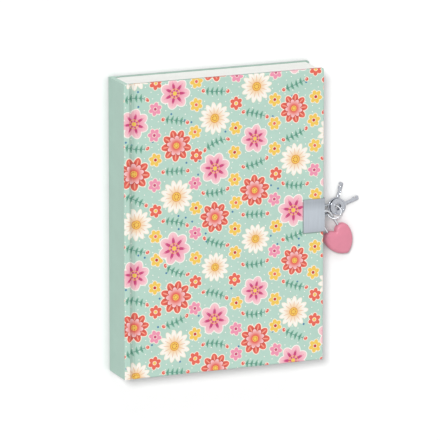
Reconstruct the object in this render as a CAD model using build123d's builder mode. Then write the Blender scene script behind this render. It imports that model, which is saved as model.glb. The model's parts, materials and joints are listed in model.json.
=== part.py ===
from build123d import *
from math import atan2, cos, pi, radians, sin, sqrt
import os

# Hardback diary lying on its back cover: +X runs from spine to fore-edge, +Y to the head,
# +Z to the front cover. The origin is the middle of the back cover's underside. Millimetres.

# Case and text block
cover_width = 150.0  # spine face to fore-edge
cover_height = 210.0  # tail to head
diary_thickness = 30.0  # over both covers
board_thickness = 2.1
cover_paper = 0.35  # laminated covering paper
endpaper = 0.2
edge_round = 0.9  # outer edges of the covers
corner_round = 1.3  # fore-edge corners of the covers, seen from above
turn_in = 15.0  # covering paper folded over the inside of the boards
pastedown_margin = 3.0
shoulder_width = 3.8  # flat strip between the spine face and the groove
groove_width = 3.6
groove_depth = 1.3
spine_board_thickness = 3.0
hollow_gap = 0.1  # air between the spine's turn-in and the lining
spine_lining_thickness = 0.4
head_square = 0.6  # covers stand proud of the pages at head and tail
fore_edge_square = 2.8  # and at the fore-edge
signature_count = 8
fold_share = 0.45  # rounding of a signature's fold, as a share of its thickness

# Leaves that turn with the front cover
leaf_setback = 1.5  # turning leaves start this far from the hinge line
leaf_gap = 0.1
leaf_group = 0.9  # thickness of a group of turning leaves

# Sheet-metal clasp
clasp_sheet = 0.6
clasp_bend = 0.6  # bend radius at the middle of the sheet
plate_depth = 15.6  # from the fore-edge onto the front cover
plate_width = 23.8
plate_corner = 0.8
crimp_depth = 9.0  # inner legs, from the fore-edge
crimp_fit = 0.05
fold_gap = 0.3  # fold stands off the covers' edges
ear_offset = 6.3  # front clasp's ear from the middle of the clasp
ear_spread = 6.3  # between the facing sides of the two ears
ear_reach = 14.2  # from the fold
ear_height = 5.8
ear_slot_length = 6.0
ear_slot_height = 3.6
wire_reach = 8.65  # shackle wire in the ear, from the fold
slot_lead = 0.45  # middle of the slot beyond the shackle wire
clasp_stagger = 1.0  # between the front clasp's arm and the back clasp

# Heart padlock
heart_thickness = 7.0
lobe_radius = 5.5
lobe_spacing = 10.0
lobe_drop = 3.0  # lobe centres below the shackle end of the body
heart_depth = 19.0  # down to the point
flank_radius = 16.8  # swelling sides between the lobes and the point
tip_radius = 3.0
notch_radius = 0.5
heart_edge = 1.8  # rounding of the pressed rim
rim_steps = 3  # facets of that rounding
heart_wall = 1.0
seam_chamfer = 0.25
padlock_turn = 32.5  # degrees, as the padlock lies beside the diary
wire_diameter = 1.9
wire_sides = 12  # flats round the wire
leg_spacing = 9.3
wire_chamfer = 0.3  # ends of the wire
bow_height = 12.7  # start of the bow above the body's datum
ear_round_bow = 62.7  # degrees round the bow from the long leg to the ear
short_leg_end = 2.5  # below the body's datum
long_leg_end = 9.5
leg_fit = 0.15
guide_wall = 1.0
guide_floor = 0.8  # material below the long leg
short_guide_end = 0.6  # lower end of the short leg's guide, above the body's datum
catch_depth = 0.6
catch_height = 1.5
catch_lead = 0.9  # solid wire left below the catch
spring_strip = 0.4
spring_width = 2.4
spring_bend = 0.5
spring_foot_x = 6.4  # foot of the strip against the wall
spring_foot_y = -12.75
spring_bow_x = 0.9  # where the key pushes
spring_bow_rise = 1.4
spring_back_x = 6.5  # strip behind the short leg
keyway_width = 3.4
keyway_height = 1.2
keyway_depth = 4.0  # from the point into the body
pin_diameter = 1.6
pin_boss = 0.75
pin_fit = 0.05
pin_length = 5.2
pin_spacing = 17.4
pin_drop = 4.0

# Keys and their ring
ring_radius = 4.9
ring_wire = 0.8
ring_lean = 49.4  # degrees from upright
ring_below_bow = 0.9  # along the short leg
ring_offset = 2.7  # ring's centre from the short leg
ring_slit = 3.0  # degrees, butt joint of the ring
ring_slit_place = 90.0  # degrees, at the top
ring_chamfer = 0.2  # corners of the flat wire
floor_gap = 0.1
key_bow_radius = 6.0
key_hole_radius = 2.3
key_length = 17.1  # from the hole to the tip
key_thickness = 0.8
key_blade = 2.4
key_bit = 4.6  # length of the wider end
key_bit_step = 0.7
key_notch = 1.2
key_dip = 5.0  # degrees, keys slope down from the ring
key_dip_heading = -9.9  # degrees from the padlock's cross direction
key_headings = (-16.0, 40.0)  # degrees, blades of key_1 and key_2
key_stations = (-19.3, -40.3)  # degrees round the ring

# Places worked out from the sizes above
spine_x = -cover_width / 2
fore_edge_x = cover_width / 2
head_y = cover_height / 2
cover_thickness = 2 * cover_paper + board_thickness + endpaper
groove_start = spine_x + shoulder_width
groove_end = groove_start + groove_width
hinge_x = (groove_start + groove_end) / 2
spine_inside = spine_x + cover_paper + spine_board_thickness
lining_x = spine_inside + cover_paper + hollow_gap
page_start = lining_x + spine_lining_thickness
page_end = fore_edge_x - fore_edge_square
page_height = cover_height - 2 * head_square
page_top = diary_thickness - cover_thickness
fold_x = fore_edge_x + fold_gap
ear_bottom = heart_thickness / 2 - ear_height / 2
ear_top = ear_bottom + ear_height
clasp_low_y = -ear_offset + clasp_stagger
back_ear_y = -ear_offset + ear_spread

back_plane = Plane.XY
front_plane = Plane(origin=(0, 0, diary_thickness), x_dir=(1, 0, 0), z_dir=(0, 0, -1))

# Padlock frame: x across the legs, y towards the bow, z up through the heart's thickness
turn = radians(padlock_turn)
across = Vector(cos(turn), sin(turn), 0)
along = Vector(-sin(turn), cos(turn), 0)
leg_x = leg_spacing / 2
bow_angle = radians(ear_round_bow)
ear_crossing = Vector(fold_x + wire_reach, -ear_offset - clasp_sheet / 2, heart_thickness / 2)
ear_station = bow_height + leg_x * sin(bow_angle)
padlock_origin = ear_crossing + across * (leg_x * cos(bow_angle)) - along * ear_station
padlock_plane = Plane(origin=padlock_origin, x_dir=across, z_dir=(0, 0, 1))

os.makedirs("parts", exist_ok=True)


def keep(piece, name):
    """Label a finished piece and write it."""
    piece.part.label = name
    export_step(piece.part, f"parts/{name}.step")


def block(x0, x1, y0, y1, z0, z1, mode=Mode.ADD):
    """A box between two corners, in the frame of the part being built."""
    with Locations(((x0 + x1) / 2, (y0 + y1) / 2, (z0 + z1) / 2)):
        Box(x1 - x0, y1 - y0, z1 - z0, mode=mode)


def round_cover(piece, plane, edge, corner):
    """Round the fore-edge corners, then the rim of the outer face."""
    fillet(piece.edges().filter_by(Axis.Z).group_by(Axis.X)[-1], corner)
    outward = piece.faces().sort_by(Axis(plane.origin, plane.z_dir))[0]
    rim = outward.edges()
    fillet(rim.sort_by(Axis.X)[1:], edge)


def cover_board(plane, pocket):
    """Greyboard of one cover, with the clasp's crimp pressed into it."""
    with BuildPart(plane) as piece:
        block(groove_end, fore_edge_x - cover_paper, -head_y + cover_paper, head_y - cover_paper,
              cover_paper, cover_paper + board_thickness)
        round_cover(piece, plane, edge_round - cover_paper, corner_round - cover_paper)
        add(pocket.part, mode=Mode.SUBTRACT)
    return piece


def cover_sheet(plane, pocket):
    """Covering paper: outer face, wrapped edges and turn-ins, open towards the groove."""
    inner_face = cover_paper + board_thickness
    with BuildPart(plane) as piece:
        block(groove_end, fore_edge_x, -head_y, head_y, 0, inner_face + cover_paper)
        round_cover(piece, plane, edge_round, corner_round)
        block(groove_end, fore_edge_x - cover_paper, -head_y + cover_paper, head_y - cover_paper,
              cover_paper, inner_face, mode=Mode.SUBTRACT)
        block(groove_end, fore_edge_x - turn_in, -head_y + turn_in, head_y - turn_in,
              inner_face, inner_face + cover_paper, mode=Mode.SUBTRACT)
        add(pocket.part, mode=Mode.SUBTRACT)
    return piece


def pastedown(plane, pocket):
    """Endpaper leaf glued over the turn-ins, sunk between them."""
    inner_face = cover_paper + board_thickness
    reach_x = fore_edge_x - pastedown_margin
    reach_y = head_y - pastedown_margin
    with BuildPart(plane) as piece:
        block(groove_end, reach_x, -reach_y, reach_y, inner_face + cover_paper, cover_thickness)
        block(groove_end, fore_edge_x - turn_in, -head_y + turn_in, head_y - turn_in,
              inner_face, inner_face + cover_paper)
        add(pocket.part, mode=Mode.SUBTRACT)
    return piece


def groove_strip(outer_z, inward):
    """Covering paper pressed into the groove as a round channel."""
    low = outer_z + inward * groove_depth
    lift = inward * cover_paper
    with BuildPart() as strip:
        with BuildSketch(Plane.XZ):
            with BuildLine():
                ThreePointArc((groove_start, outer_z), (hinge_x, low), (groove_end, outer_z))
                Line((groove_end, outer_z), (groove_end, outer_z + lift))
                ThreePointArc((groove_end, outer_z + lift), (hinge_x, low + lift),
                              (groove_start, outer_z + lift))
                Line((groove_start, outer_z + lift), (groove_start, outer_z))
            make_face()
        extrude(amount=head_y, both=True)
    return strip


def groove_ends():
    """Folded-in paper that closes the ends of the back groove, between the channel and the pages."""
    with BuildPart() as folds:
        for outer_y in (head_y, cover_paper - head_y):
            with BuildSketch(Plane.XZ.offset(-outer_y)):
                with BuildLine():
                    ThreePointArc((groove_start, cover_paper), (hinge_x, groove_depth + cover_paper),
                                  (groove_end, cover_paper))
                    Polyline((groove_end, cover_paper), (groove_end, cover_thickness),
                             (groove_start, cover_thickness), (groove_start, cover_paper))
                make_face()
            extrude(amount=cover_paper)
    return folds


def leaves(start_x, bottom, thickness):
    """A flat stack of leaves."""
    with BuildPart() as piece:
        block(start_x, page_end, -page_height / 2, page_height / 2, bottom, bottom + thickness)
    return piece


# Crimp pockets: the clasps' sheet is pressed flush into the covers. Each is drawn in its cover's
# own frame, with z from the outer face inwards
crimp_start = fore_edge_x - crimp_depth - crimp_fit
crimp_face = clasp_sheet + crimp_fit
pocket_half = plate_width / 2 + crimp_fit
back_low = clasp_low_y - crimp_fit
with BuildPart() as front_pocket:
    block(crimp_start, fore_edge_x, -pocket_half, pocket_half, cover_thickness - crimp_face, cover_thickness)
with BuildPart() as back_pocket:
    block(crimp_start, fore_edge_x, back_low, pocket_half, cover_thickness - crimp_face, cover_thickness)
    block(fore_edge_x - plate_depth - crimp_fit, fore_edge_x, back_low, pocket_half, 0, crimp_face)

# Covers
for cover, plane, pocket in (("back", back_plane, back_pocket), ("front", front_plane, front_pocket)):
    keep(cover_board(plane, pocket), f"{cover}_board")
    keep(cover_sheet(plane, pocket), f"{cover}_cover_paper")
    keep(pastedown(plane, pocket), f"{cover}_pastedown")

# Spine
with BuildPart() as spine_board:
    block(spine_x + cover_paper, spine_inside, -head_y + cover_paper, head_y - cover_paper,
          cover_paper, diary_thickness - cover_paper)
keep(spine_board, "spine_board")

back_groove = groove_strip(0, 1)
back_groove_ends = groove_ends()
with BuildPart() as spine_paper:
    with BuildSketch(Plane.XZ):
        with Locations(((spine_x + groove_start) / 2, diary_thickness / 2)):
            outer = Rectangle(shoulder_width, diary_thickness)
        fillet(outer.vertices().group_by(Axis.X)[0], edge_round)
        with Locations(((spine_x + cover_paper + groove_start) / 2, diary_thickness / 2)):
            Rectangle(shoulder_width - cover_paper, diary_thickness - 2 * cover_paper, mode=Mode.SUBTRACT)
    extrude(amount=head_y, both=True)
    add(back_groove.part)
    add(back_groove_ends.part)
    for end in (-1, 1):
        cap = sorted((end * head_y, end * (head_y - cover_paper)))
        fold = sorted((end * head_y, end * (head_y - turn_in)))
        block(spine_x + cover_paper, spine_inside, *cap, cover_paper, diary_thickness - cover_paper)
        block(spine_inside, spine_inside + cover_paper, *fold, cover_paper, diary_thickness - cover_paper)
keep(spine_paper, "spine_paper")

keep(groove_strip(diary_thickness, -1), "front_joint_paper")

# Text block: the leaves under the front cover turn, the sewn signatures stay
flyleaf_bottom = page_top - leaf_gap - endpaper
first_bottom = flyleaf_bottom - leaf_gap - leaf_group
second_bottom = first_bottom - leaf_gap - leaf_group
signature_top = second_bottom - leaf_gap
signature_bottom = cover_thickness + endpaper
signature_thickness = (signature_top - signature_bottom) / signature_count
leaf_start = hinge_x + leaf_setback

keep(leaves(leaf_start, flyleaf_bottom, endpaper), "front_flyleaf")
keep(leaves(leaf_start, first_bottom, leaf_group), "first_leaves")
keep(leaves(leaf_start, second_bottom, leaf_group), "second_leaves")
keep(leaves(page_start, cover_thickness, endpaper), "back_flyleaf")

for number in range(signature_count):
    bottom = signature_bottom + number * signature_thickness
    with BuildPart() as signature:
        block(page_start, page_end, -page_height / 2, page_height / 2, bottom, bottom + signature_thickness)
        fold_edges = signature.edges().filter_by(Axis.Y).group_by(Axis.X)[0]
        fillet(fold_edges, fold_share * signature_thickness)
    keep(signature, f"signature_{number + 1}")

with BuildPart() as spine_lining:
    block(lining_x, page_start, -page_height / 2, page_height / 2, signature_bottom, signature_top)
keep(spine_lining, "spine_lining")


def channel(points, y_low, y_high):
    """Sheet bent along Y, drawn at its middle line, with the open end's corners rounded."""
    with BuildPart() as sheet:
        with BuildSketch(Plane.XZ.offset(-y_high)):
            with BuildLine():
                FilletPolyline(*points, radius=clasp_bend)
            trace(line_width=clasp_sheet)
        extrude(amount=y_high - y_low)
        fillet(sheet.edges().filter_by(Axis.Z).group_by(Axis.X)[0], plate_corner)
    return sheet


def ear(y_low):
    """Rounded tab with a slot for the shackle, turned out from the fold."""
    middle_z = heart_thickness / 2
    straight = ear_reach - ear_height / 2
    with BuildPart() as tab:
        with BuildSketch(Plane.XZ.offset(-y_low - clasp_sheet)):
            with Locations((fold_x + straight / 2, middle_z)):
                Rectangle(straight, ear_height)
            with Locations((fold_x + straight, middle_z)):
                Circle(ear_height / 2)
            with Locations((ear_crossing.X + slot_lead, middle_z)):
                SlotOverall(ear_slot_length, ear_slot_height, mode=Mode.SUBTRACT)
        extrude(amount=clasp_sheet)
    return tab


# Clasps: the front one reaches down to the table, the back one up to meet it
half_sheet = clasp_sheet / 2
half_plate = plate_width / 2
fold_middle = fold_x + half_sheet
crimp_end = fore_edge_x - crimp_depth
plate_end = fore_edge_x - plate_depth
front_inner = page_top + half_sheet
front_outer = diary_thickness + half_sheet
back_inner = cover_thickness - half_sheet

front_line = [(crimp_end, front_inner), (fold_middle, front_inner),
              (fold_middle, front_outer), (plate_end, front_outer)]
back_line = [(crimp_end, back_inner), (fold_middle, back_inner),
             (fold_middle, half_sheet), (plate_end, half_sheet)]
front_channel = channel(front_line, -half_plate, half_plate)
front_ear = ear(-ear_offset - clasp_sheet)
with BuildPart() as front_clasp:
    add(front_channel.part)
    block(fold_x, fold_x + clasp_sheet, -half_plate, -ear_offset, ear_bottom, front_inner + clasp_bend)
    add(front_ear.part)
keep(front_clasp, "front_clasp")

back_channel = channel(back_line, clasp_low_y, half_plate)
back_ear = ear(back_ear_y)
with BuildPart() as back_clasp:
    add(back_channel.part)
    block(fold_x, fold_x + clasp_sheet, back_ear_y, half_plate, half_sheet + clasp_bend, ear_top)
    add(back_ear.part)
keep(back_clasp, "back_clasp")

# Padlock, drawn in its own frame with the seam between the halves of the body at z = 0
wire_radius = wire_diameter / 2
bore_radius = wire_radius + leg_fit
guide_half = bore_radius + guide_wall
body_top = lobe_radius - lobe_drop
half_heart = heart_thickness / 2
cavity_half = half_heart - heart_wall
long_guide_end = -long_leg_end - leg_fit - guide_floor
pin_x = pin_spacing / 2
from_start = Align.CENTER, Align.CENTER, Align.MIN


def heart_section(inset, height):
    """Heart outline: round notch, two lobes and swelling flanks down to a blunt point."""
    lobe = Vector(lobe_spacing / 2, -lobe_drop)
    point = Vector(0, tip_radius - heart_depth)
    notch = Vector(0, lobe.Y + sqrt((lobe_radius + notch_radius) ** 2 - lobe.X**2))
    slope = point - lobe
    to_lobe = flank_radius - lobe_radius
    to_point = flank_radius - tip_radius
    foot = (to_lobe**2 - to_point**2 + slope.length**2) / (2 * slope.length)
    rise = sqrt(to_lobe**2 - foot**2)
    square = Vector(slope.Y, -slope.X)
    flank = lobe + slope.normalized() * foot + square.normalized() * rise

    def at(middle, radius, angle):
        return middle + Vector(cos(angle), sin(angle)) * radius

    shoulder = atan2(notch.Y - lobe.Y, -lobe.X)
    side = atan2(lobe.Y - flank.Y, lobe.X - flank.X)
    chin = atan2(point.Y - flank.Y, -flank.X)
    notch_size = notch_radius + inset
    lobe_size = lobe_radius - inset
    point_size = tip_radius - inset
    dip = at(notch, notch_size, -pi / 2)
    dip_side = at(notch, notch_size, (shoulder - 3 * pi / 2) / 2)
    lobe_top = at(lobe, lobe_size, shoulder)
    lobe_side = at(lobe, lobe_size, side)
    point_side = at(point, point_size, chin)
    point_end = at(point, point_size, -pi / 2)
    with BuildSketch(Plane.XY.offset(height)) as section:
        with BuildLine():
            ThreePointArc(dip, dip_side, lobe_top)
            ThreePointArc(lobe_top, at(lobe, lobe_size, (shoulder + side) / 2), lobe_side)
            ThreePointArc(lobe_side, at(flank, flank_radius - inset, (side + chin) / 2), point_side)
            ThreePointArc(point_side, at(point, point_size, (chin - pi / 2) / 2), point_end)
            mirror(about=Plane.YZ)
        make_face()
    return section.sketch


def heart_half(side):
    """Solid half of the heart with its rounded rim; side is 1 for the upper half and -1 for the lower."""
    rim_angles = [k * pi / 2 / rim_steps for k in range(rim_steps + 1)]
    rim_start = half_heart - heart_edge
    rim = []
    for angle in rim_angles:
        rim.append(heart_section(heart_edge * (1 - cos(angle)), side * (rim_start + heart_edge * sin(angle))))
    with BuildPart() as form:
        extrude(heart_section(0, 0), amount=side * rim_start)
        loft(rim, ruled=True)
    return form


def leg_bore(x, end):
    """Hole for a shackle leg, from the top of the body down to the given depth."""
    with BuildPart() as bore:
        with Locations(Location((x, body_top, 0), (90, 0, 0))):
            Cylinder(bore_radius, body_top + end, align=from_start)
    return bore


def heart_shell(side):
    """One pressed half of the heart, hollow round the leg guides and the pin bosses."""
    form = heart_half(side)
    with BuildPart(padlock_plane) as shell:
        add(form.part)
        chamfer(shell.faces().sort_by(Axis.Z, reverse=side < 0)[0].edges(), seam_chamfer)
        add(cavity.part, mode=Mode.SUBTRACT)
        add(long_bore.part, mode=Mode.SUBTRACT)
        add(short_bore.part, mode=Mode.SUBTRACT)
        with Locations((-pin_x, -pin_drop), (pin_x, -pin_drop)):
            Cylinder(pin_diameter / 2 + pin_fit, pin_length + 2 * pin_fit, mode=Mode.SUBTRACT)
        block(-keyway_width / 2, keyway_width / 2, -heart_depth, keyway_depth - heart_depth,
              -keyway_height / 2, keyway_height / 2, mode=Mode.SUBTRACT)
    return shell


with BuildPart() as cavity:
    extrude(heart_section(heart_wall, 0), amount=cavity_half, both=True)
    block(-leg_x - guide_half, -leg_x + guide_half, long_guide_end, body_top,
          -cavity_half, cavity_half, mode=Mode.SUBTRACT)
    block(leg_x - guide_half, leg_x + guide_half, short_guide_end, body_top,
          -cavity_half, cavity_half, mode=Mode.SUBTRACT)
    with Locations((-pin_x, -pin_drop), (pin_x, -pin_drop)):
        Cylinder(pin_diameter / 2 + pin_fit + pin_boss, 2 * cavity_half, mode=Mode.SUBTRACT)
long_bore = leg_bore(-leg_x, long_leg_end + leg_fit)
short_bore = leg_bore(leg_x, short_leg_end)
keep(heart_shell(1), "heart_front_shell")
keep(heart_shell(-1), "heart_back_shell")

for number, x in enumerate((-pin_x, pin_x)):
    with BuildPart(padlock_plane) as shell_pin:
        with Locations((x, -pin_drop)):
            Cylinder(pin_diameter / 2, pin_length)
    keep(shell_pin, f"shell_pin_{number + 1}")

# Shackle: one bent wire, its short leg notched for the spring
with BuildPart(padlock_plane) as shackle:
    with BuildLine(padlock_plane) as wire_path:
        Line((-leg_x, -long_leg_end), (-leg_x, bow_height))
        ThreePointArc((-leg_x, bow_height), (0, bow_height + leg_x), (leg_x, bow_height))
        Line((leg_x, bow_height), (leg_x, -short_leg_end))
    with BuildSketch(Plane(origin=wire_path.line @ 0, z_dir=wire_path.line % 0)):
        RegularPolygon(wire_radius, wire_sides)
    sweep()
    chamfer(shackle.faces().filter_by(Axis((0, 0, 0), along)).edges(), wire_chamfer)
    block(leg_x + wire_radius - catch_depth, leg_x + wire_diameter, catch_lead - short_leg_end,
          catch_lead - short_leg_end + catch_height, -wire_diameter, wire_diameter, mode=Mode.SUBTRACT)
keep(shackle, "shackle")

# Locking spring: a bent strip from the wall beside the keyway up to the catch
catch_middle = catch_lead + catch_height / 2 - short_leg_end
with BuildPart(padlock_plane) as locking_spring:
    with BuildSketch(padlock_plane):
        with BuildLine():
            FilletPolyline(
                (spring_foot_x, spring_foot_y),
                (spring_bow_x + spring_bow_rise, spring_foot_y + spring_bow_rise),
                (spring_bow_x, -long_leg_end + spring_bow_rise),
                (spring_bow_x + spring_bow_rise, -pin_drop - spring_bow_rise),
                (spring_back_x, -short_leg_end - spring_bow_rise),
                (spring_back_x, catch_middle - spring_strip),
                (leg_x + wire_radius - catch_depth / 2, catch_middle),
                radius=spring_bend,
            )
        trace(line_width=spring_strip)
    extrude(amount=spring_width / 2, both=True)
keep(locking_spring, "locking_spring")

# Key ring: flat wire, leaning on the table, round the shackle's short leg
ring_station = bow_height - ring_below_bow
lean = radians(ring_lean)
upright = Vector(0, 0, 1)
ring_rise = along * -sin(lean) + upright * cos(lean)
ring_lift = ring_wire / 2 + floor_gap + ring_radius * cos(lean) - half_heart
ring_origin = padlock_plane.from_local_coords((leg_x + ring_offset, ring_station, ring_lift))
ring_plane = Plane(origin=ring_origin, x_dir=across, z_dir=across.cross(ring_rise))
with BuildPart() as key_ring:
    with BuildLine(ring_plane) as ring_path:
        CenterArc((0, 0), ring_radius, ring_slit_place + ring_slit / 2, 360 - ring_slit)
    with BuildSketch(Plane(origin=ring_path.line @ 0, x_dir=ring_plane.z_dir, z_dir=ring_path.line % 0)):
        flat_wire = Rectangle(ring_wire, ring_wire)
        chamfer(flat_wire.vertices(), ring_chamfer)
    sweep()
keep(key_ring, "key_ring")

# Keys: stamped flat, sloping down from the ring to the table
dip = radians(key_dip)
dip_heading = radians(key_dip_heading)
downhill = across * cos(dip_heading) + along * sin(dip_heading)
key_normal = downhill * sin(dip) + upright * cos(dip)
for number, (station, heading) in enumerate(zip(key_stations, key_headings)):
    place = radians(station)
    turned = radians(heading)
    hole = ring_plane.from_local_coords((ring_radius * cos(place), ring_radius * sin(place), 0))
    blade = across * cos(turned) + along * sin(turned)
    blade = blade - key_normal * blade.dot(key_normal)
    key_plane = Plane(origin=hole, x_dir=blade, z_dir=key_normal)
    with BuildPart() as key:
        with BuildSketch(key_plane):
            Circle(key_bow_radius)
            with Locations((key_length / 2, 0)):
                Rectangle(key_length, key_blade)
            with Locations((key_length - key_bit / 2, key_blade / 2)):
                Rectangle(key_bit, 2 * key_bit_step)
                Rectangle(key_notch, 2 * key_bit_step, mode=Mode.SUBTRACT)
            Circle(key_hole_radius, mode=Mode.SUBTRACT)
        extrude(amount=key_thickness / 2, both=True)
    keep(key, f"key_{number + 1}")
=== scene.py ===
import json
import math

import bmesh
import bpy
from mathutils import Matrix, Vector


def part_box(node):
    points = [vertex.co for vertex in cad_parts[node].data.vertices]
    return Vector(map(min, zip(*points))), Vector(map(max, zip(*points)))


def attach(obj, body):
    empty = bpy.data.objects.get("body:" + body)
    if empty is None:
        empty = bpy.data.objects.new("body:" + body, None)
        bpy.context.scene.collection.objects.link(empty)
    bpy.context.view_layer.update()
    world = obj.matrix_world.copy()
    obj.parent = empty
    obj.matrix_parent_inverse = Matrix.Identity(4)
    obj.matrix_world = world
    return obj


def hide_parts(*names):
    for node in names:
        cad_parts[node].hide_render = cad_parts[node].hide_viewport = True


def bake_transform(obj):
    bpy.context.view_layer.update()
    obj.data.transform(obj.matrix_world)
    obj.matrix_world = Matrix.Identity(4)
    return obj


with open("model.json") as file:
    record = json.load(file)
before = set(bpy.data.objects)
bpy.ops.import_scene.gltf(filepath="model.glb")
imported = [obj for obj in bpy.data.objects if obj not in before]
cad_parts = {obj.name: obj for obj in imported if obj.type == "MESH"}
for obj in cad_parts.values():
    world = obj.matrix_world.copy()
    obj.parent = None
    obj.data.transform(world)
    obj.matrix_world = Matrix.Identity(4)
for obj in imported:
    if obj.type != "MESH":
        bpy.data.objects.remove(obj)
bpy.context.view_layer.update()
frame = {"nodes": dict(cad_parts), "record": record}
nodes = frame["nodes"]
scene = bpy.context.scene
MM = 0.001

# Places read from the solids, in metres
cover_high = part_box("front_cover_paper")[1]
joint_low, joint_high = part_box("front_joint_paper")
page_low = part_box("signature_8")[0]
clasp_low, clasp_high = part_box("front_clasp")
front_z = cover_high.z
inner_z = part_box("front_pastedown")[0].z
head_y = cover_high.y
groove_a = joint_low.x
groove_b = joint_high.x

# Covering paper, in millimetres, and its mesh: cells across and along the groove
PAPER = 0.35
GROOVE_DEPTH = 1.3
FOLD_END_GAP = 0.05
JOINT_CELLS = (20, 24)

# Gutters, in metres: how far they start inside the sewn back, and how far they lie inside the leaves' faces
GUTTER_START = 0.3 * MM
GUTTER_SKIN = 0.02 * MM
GUTTER_CELLS = (12, 8)

# Angles in degrees: edges above the first two stay sharp, and a key's edges above the third are softened
SHEET_ANGLE = 40.0
METAL_ANGLE = 38.0
KEY_ANGLE = 40.0

# Heart padlock, the same form as the solids, in millimetres: frame, outline, rim, crown, bores and keyway
PADLOCK_AT = (94.7926, -19.6501, 3.5)
PADLOCK_TURN = 32.5
LOBE_RADIUS = 5.5
LOBE_X = 5.0
LOBE_Y = -3.0
FLANK_RADIUS = 16.8
TIP_RADIUS = 3.0
TIP_Y = -16.0
NOTCH_RADIUS = 0.5
HALF_HEART = 3.5
HEART_RIM = 2.5
HEART_CROWN = 0.3
HEART_MIDDLE = -6.5
HEART_SEAM = [(0.28, 0.0), (0.06, 0.14), (0.0, 0.32)]
CROWN_SHARES = (0.85, 0.65, 0.4, 0.15)
CROWN_POWER = 2.2
LEG_X = 4.65
BORE_RADIUS = 1.1
BORE_TOP = 3.0
LONG_BORE_END = -9.65
SHORT_BORE_END = -2.5
KEYWAY_WIDTH = 3.4
KEYWAY_REACH = 4.0
KEYWAY_HEIGHT = 1.2

# Shackle, key ring and keys, the same forms as the solids; ring and shackle in the padlock's frame.
# KEY_PRESSED is two radii and a depth, and KEY_GROOVE two ends, two sides and a depth.
WIRE_RADIUS = 0.95
WIRE_CHAMFER = 0.3
BOW_HEIGHT = 12.7
LONG_LEG_END = -9.5
SHORT_LEG_END = -2.5
CATCH_INNER = 5.0
CATCH_LOW = -1.6
CATCH_HIGH = -0.1
RING_AT = (7.35, 11.8, 0.189)
RING_RADIUS = 4.9
RING_WIRE = 0.8
RING_CHAMFER = 0.1
RING_SEAM = 0.02
RING_LEAN = 49.4
RING_SPLIT = 90.0
RING_STEP_OVER = 40.0
KEY_BOW = 6.0
KEY_HOLE = 2.3
KEY_LENGTH = 17.1
KEY_THICKNESS = 0.8
KEY_BLADE = 2.4
KEY_BIT = 4.6
KEY_STEP = 0.7
KEY_NOTCH = 1.2
KEY_TIP = 0.5
KEY_EDGE = 0.1
KEY_PRESSED = (3.2, 5.0, 0.14)
KEY_GROOVE = (7.4, 15.8, -0.85, -0.2, 0.2)
KEY_HEADINGS = {"key_1": 16.5, "key_2": 72.5}

# Points along or round each curve
NOTCH_POINTS = 6
LOBE_POINTS = 20
FLANK_POINTS = 18
TIP_POINTS = 6
RIM_POINTS = 8
BORE_POINTS = 40
WIRE_POINTS = 36
BOW_POINTS = 48
RING_POINTS = 136
KEY_BOW_POINTS = 80
KEY_HOLE_POINTS = 48

# Points of a cut mesh this near to each other, in millimetres, are one
SAME_POINT = 0.004

# Cutters, in millimetres: how far they reach past what they cut, and half the height of the pressing tool
PAST = 2
KEYWAY_PAST = 1
PRESS_HALF = 1.0

# Cover print: pitch and start of its half-drop repeat, in millimetres
REPEAT_X = 30.0
REPEAT_Y = 36.0
PRINT_SHIFT = (82.0, 121.0)

# Where the print goes, in metres: round the board's edges, down to the pastedown, and over the shoulder
PRINT_TURN = 0.9 * MM
PRINT_FOOT = 0.2 * MM
SHOULDER_FACE = 0.7 * MM

# Painted shade and shadow on the paper, in metres: reach beside the groove, reach along the clasp's plate,
# lean to the tail
FOLD_REACH = 1.8 * MM
PLATE_SHADE = 0.9 * MM
PLATE_LEAN = 0.3 * MM

# Ruling of the pages, in metres, and the line's share of the pitch
RULE_PITCH = 7.5 * MM
RULE_SHARE = 0.05
RULED_MIDDLE = (3 * MM, -4 * MM)
RULED_HALF = (62 * MM, 90 * MM)

# Cloth's thread, in metres, and brush marks per metre along each axis
THREAD = 0.7 * MM
CLASP_BRUSH = (2600.0, 60.0, 2600.0)
KEY_BRUSH = (1200.0, 400.0, 1200.0)


# Node helpers


def linear(red, green, blue):
    """An sRGB colour from 0 to 255, as the linear values that a shader takes."""
    values = []
    for part in (red, green, blue):
        part = part / 255.0
        values.append(part / 12.92 if part <= 0.04045 else ((part + 0.055) / 1.055) ** 2.4)
    return (*values, 1.0)


def scaled(colour, factor):
    """A lighter or darker shade of a colour."""
    return (*(min(part * factor, 1.0) for part in colour[:3]), 1.0)


def grey(value):
    return (value, value, value, 1.0)


def put(tree, kind, inputs=None, **settings):
    """Add a node, change its settings, and set or link its inputs."""
    node = tree.nodes.new(kind)
    for key, value in settings.items():
        setattr(node, key, value)
    for key, value in (inputs or {}).items():
        if isinstance(value, Field):
            value = value.socket
        if isinstance(value, bpy.types.NodeSocket):
            tree.links.new(value, node.inputs[key])
        else:
            node.inputs[key].default_value = value
    return node


class Field:
    """A number worked out in a material's nodes; arithmetic on it adds the nodes."""

    def __init__(self, tree, socket):
        self.tree = tree
        self.socket = socket

    def op(self, name, *others):
        inputs = dict(enumerate((self, *others)))
        return Field(self.tree, put(self.tree, "ShaderNodeMath", inputs, operation=name).outputs[0])

    def __add__(self, other):
        return self.op("ADD", other)

    def __sub__(self, other):
        return self.op("SUBTRACT", other)

    def __mul__(self, other):
        return self.op("MULTIPLY", other)

    def __truediv__(self, other):
        return self.op("DIVIDE", other)

    def below(self, limit):
        return self.op("LESS_THAN", limit)

    def above(self, limit):
        return self.op("GREATER_THAN", limit)

    def floor(self):
        return self.op("FLOOR")

    def size(self):
        return self.op("ABSOLUTE")

    def ease(self, low, high):
        """0 below low, 1 above high, and a straight slope between them."""
        inputs = {"Value": self, "From Min": low, "From Max": high}
        return Field(self.tree, put(self.tree, "ShaderNodeMapRange", inputs).outputs[0])


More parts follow.
